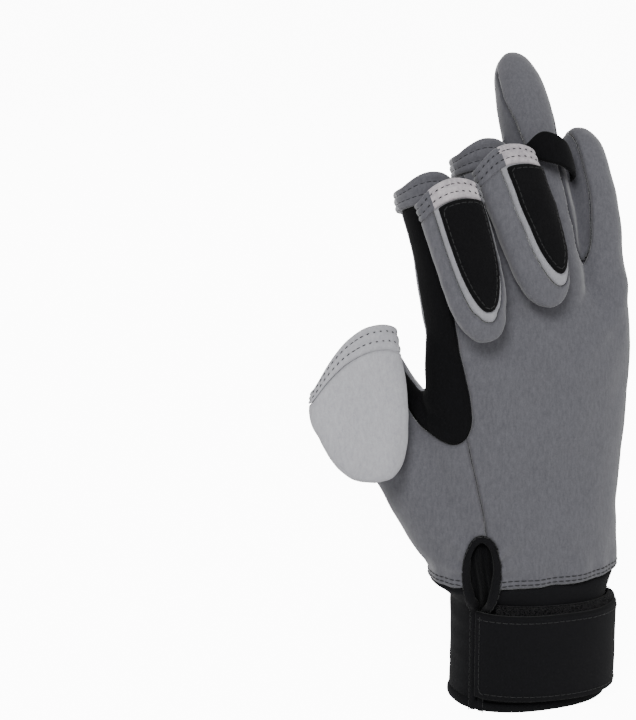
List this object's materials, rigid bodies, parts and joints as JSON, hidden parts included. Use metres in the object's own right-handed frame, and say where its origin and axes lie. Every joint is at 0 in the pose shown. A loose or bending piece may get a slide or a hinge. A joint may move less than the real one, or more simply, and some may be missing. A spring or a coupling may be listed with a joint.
{
  "type": "fishing glove",
  "caption": "Right-hand cloth fishing glove with open index, middle and thumb stubs, folded-back fingertip caps, grip patches and a strapped neoprene cuff",
  "frame": {"origin": "the centre of the wrist opening, in the plane of the cuff's lower edge", "axes": "+Z runs from the wrist opening to the fingertips, the back of the hand faces -Y and the palm +Y, the thumb is on the -X side and the little finger on the +X side"},
  "size_m": [0.136, 0.0721, 0.2549],
  "materials": {
    "back_cloth": "mid grey softshell, brushed",
    "palm_cloth": "light grey softshell, brushed",
    "side_cloth": "dark grey softshell, brushed",
    "black_cloth": "black stretch cloth, matt",
    "pale_cloth": "pale grey softshell, brushed",
    "neoprene": "black knit-faced neoprene",
    "hook_tape": "black hook-and-loop tape",
    "grip": "black rubber print with raised lines"
  },
  "bodies": {
    "root": {"back_panel": "back_cloth", "thumb_back_panel": "back_cloth", "palm_panel": "palm_cloth", "web_gusset": "black_cloth", "fourchette_index_middle": "side_cloth", "fourchette_middle_ring": "side_cloth", "fourchette_ring_little": "side_cloth", "index_hem": "palm_cloth", "middle_hem": "palm_cloth", "thumb_hem": "palm_cloth", "index_cap": "back_cloth", "index_cap_face": "pale_cloth", "index_cap_hook": "hook_tape", "middle_cap": "back_cloth", "middle_cap_face": "pale_cloth", "middle_cap_hook": "hook_tape", "thumb_cap": "pale_cloth", "pull_band": "black_cloth", "palm_grip": "grip", "thumb_grip": "grip", "cuff": "neoprene", "cuff_band": "black_cloth", "keyhole_binding": "black_cloth", "keyhole_gusset": "black_cloth", "loop_strip": "hook_tape", "wrist_strap": "neoprene"}
  },
  "joints": []
}
